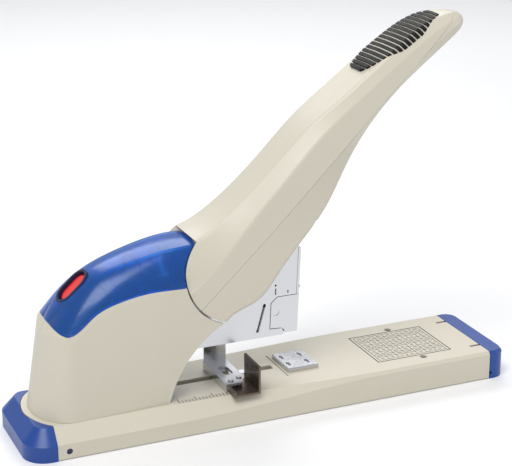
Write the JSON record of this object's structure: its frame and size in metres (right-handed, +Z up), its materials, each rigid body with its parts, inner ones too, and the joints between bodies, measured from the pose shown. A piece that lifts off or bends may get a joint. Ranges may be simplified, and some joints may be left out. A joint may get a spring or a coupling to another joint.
{
  "type": "heavy-duty stapler",
  "caption": "Long-arm heavy-duty desk stapler: flat base with anvil and sliding paper guide, hinged steel head with staple drawer, moulded column and lever handle.",
  "frame": {"origin": "centre of the footprint, on the underside of the mat", "axes": "+X along the base towards the anvil end, +Y across the base, +Z up"},
  "size_m": [0.29, 0.0644, 0.2146],
  "materials": {
    "cream_plastic": "fine-grained moulded beige plastic",
    "blue_clear": "clear royal-blue moulded plastic, polished",
    "blue_plastic": "royal-blue moulded plastic",
    "red_plastic": "bright red moulded plastic",
    "dark_plastic": "dark moulded plastic",
    "rib_rubber": "black ribbed grip rubber",
    "mat_rubber": "dark non-slip mat",
    "plated_steel": "bright nickel-plated sheet steel",
    "zinc_steel": "zinc-plated steel, brushed",
    "spring_steel": "drawn spring wire",
    "bronze_plate": "dark bronze-coloured plated sheet",
    "staple_wire": "bright drawn staple wire"
  },
  "bodies": {
    "base": {"base_shell": "cream_plastic", "base_plate": "zinc_steel", "base_mat": "mat_rubber", "base_screws": "spring_steel", "chart_screws": "dark_plastic", "side_screws": "dark_plastic", "front_cap": "blue_plastic", "rear_cap": "blue_plastic", "anvil_plate": "plated_steel", "anvil_block": "zinc_steel", "frame_near": "zinc_steel", "frame_far": "zinc_steel", "frame_spacers": "zinc_steel", "frame_screws": "spring_steel", "handle_pin": "plated_steel", "head_pin": "plated_steel", "housing_near": "cream_plastic", "housing_far": "cream_plastic", "top_cover": "blue_clear", "button_sleeve": "dark_plastic", "button_cup": "dark_plastic", "button_spring": "spring_steel", "lift_spring": "spring_steel"},
    "guide": {"guide_fence": "bronze_plate", "guide_carrier": "plated_steel", "guide_slider": "zinc_steel", "guide_rivets": "plated_steel"},
    "head": {"head_frame": "plated_steel", "front_plate": "plated_steel", "head_bushes": "zinc_steel", "latch_pin": "zinc_steel"},
    "driver": {"driver_blade": "zinc_steel", "driver_ram": "zinc_steel"},
    "drawer": {"magazine": "zinc_steel", "magazine_core": "zinc_steel", "drawer_nose": "plated_steel", "nose_rivets": "plated_steel", "staple_strip": "staple_wire", "pusher_rod": "zinc_steel", "pusher_spring": "spring_steel"},
    "pusher_block": {"pusher": "dark_plastic"},
    "latch_lever": {"latch": "zinc_steel"},
    "handle": {"handle_upper": "cream_plastic", "handle_lower": "cream_plastic", "handle_lever": "zinc_steel", "roller_pin": "zinc_steel", "drive_roller": "zinc_steel", "grip_ribs": "rib_rubber", "handle_spring": "spring_steel"},
    "button": {"release_button": "red_plastic"}
  },
  "joints": [
    {"name": "handle_swing", "type": "hinge", "parent": "base", "child": "handle", "pos_m": [-0.0212, 0, 0.0881], "axis": [0, 1, 0], "range_deg": [0, 45], "stiffness_Nm_per_rad": 1.2, "springref_deg": -20.05, "deforming": ["handle_spring"]},
    {"name": "head_swing", "type": "hinge", "parent": "base", "child": "head", "pos_m": [-0.112, 0, 0.046], "axis": [0, 1, 0], "range_deg": [0, 9.2], "deforming": ["lift_spring"]},
    {"name": "driver_slide", "type": "slide", "parent": "head", "child": "driver", "axis": [-0.0419, 0, -0.9991], "range_m": [0, 0.0156]},
    {"name": "guide_slide", "type": "slide", "parent": "base", "child": "guide", "axis": [1, 0, 0], "range_m": [-0.024, 0.008]},
    {"name": "drawer_slide", "type": "slide", "parent": "head", "child": "drawer", "axis": [-1, 0, 0], "range_m": [-0.085, 0]},
    {"name": "pusher_slide", "type": "slide", "parent": "drawer", "child": "pusher_block", "axis": [1, 0, 0], "range_m": [-0.04, 0], "stiffness_N_per_m": 40, "springref_m": 0.02, "deforming": ["pusher_spring"]},
    {"name": "button_press", "type": "slide", "parent": "base", "child": "button", "axis": [0.6691, 0, -0.7431], "range_m": [0, 0.0022], "stiffness_N_per_m": 600, "springref_m": -0.001, "deforming": ["button_spring"]},
    {"name": "latch_swing", "type": "hinge", "parent": "head", "child": "latch_lever", "pos_m": [-0.0844, 0, 0.0532], "axis": [0, -1, 0], "range_deg": [0, 15.2]}
  ],
  "couplings": [
    {"joint": "head_swing", "follows": "handle_swing", "ratio": 0.20444},
    {"joint": "driver_slide", "follows": "handle_swing", "m_per_rad": 0.019862},
    {"joint": "latch_swing", "follows": "button_press", "rad_per_m": 120.54}
  ]
}
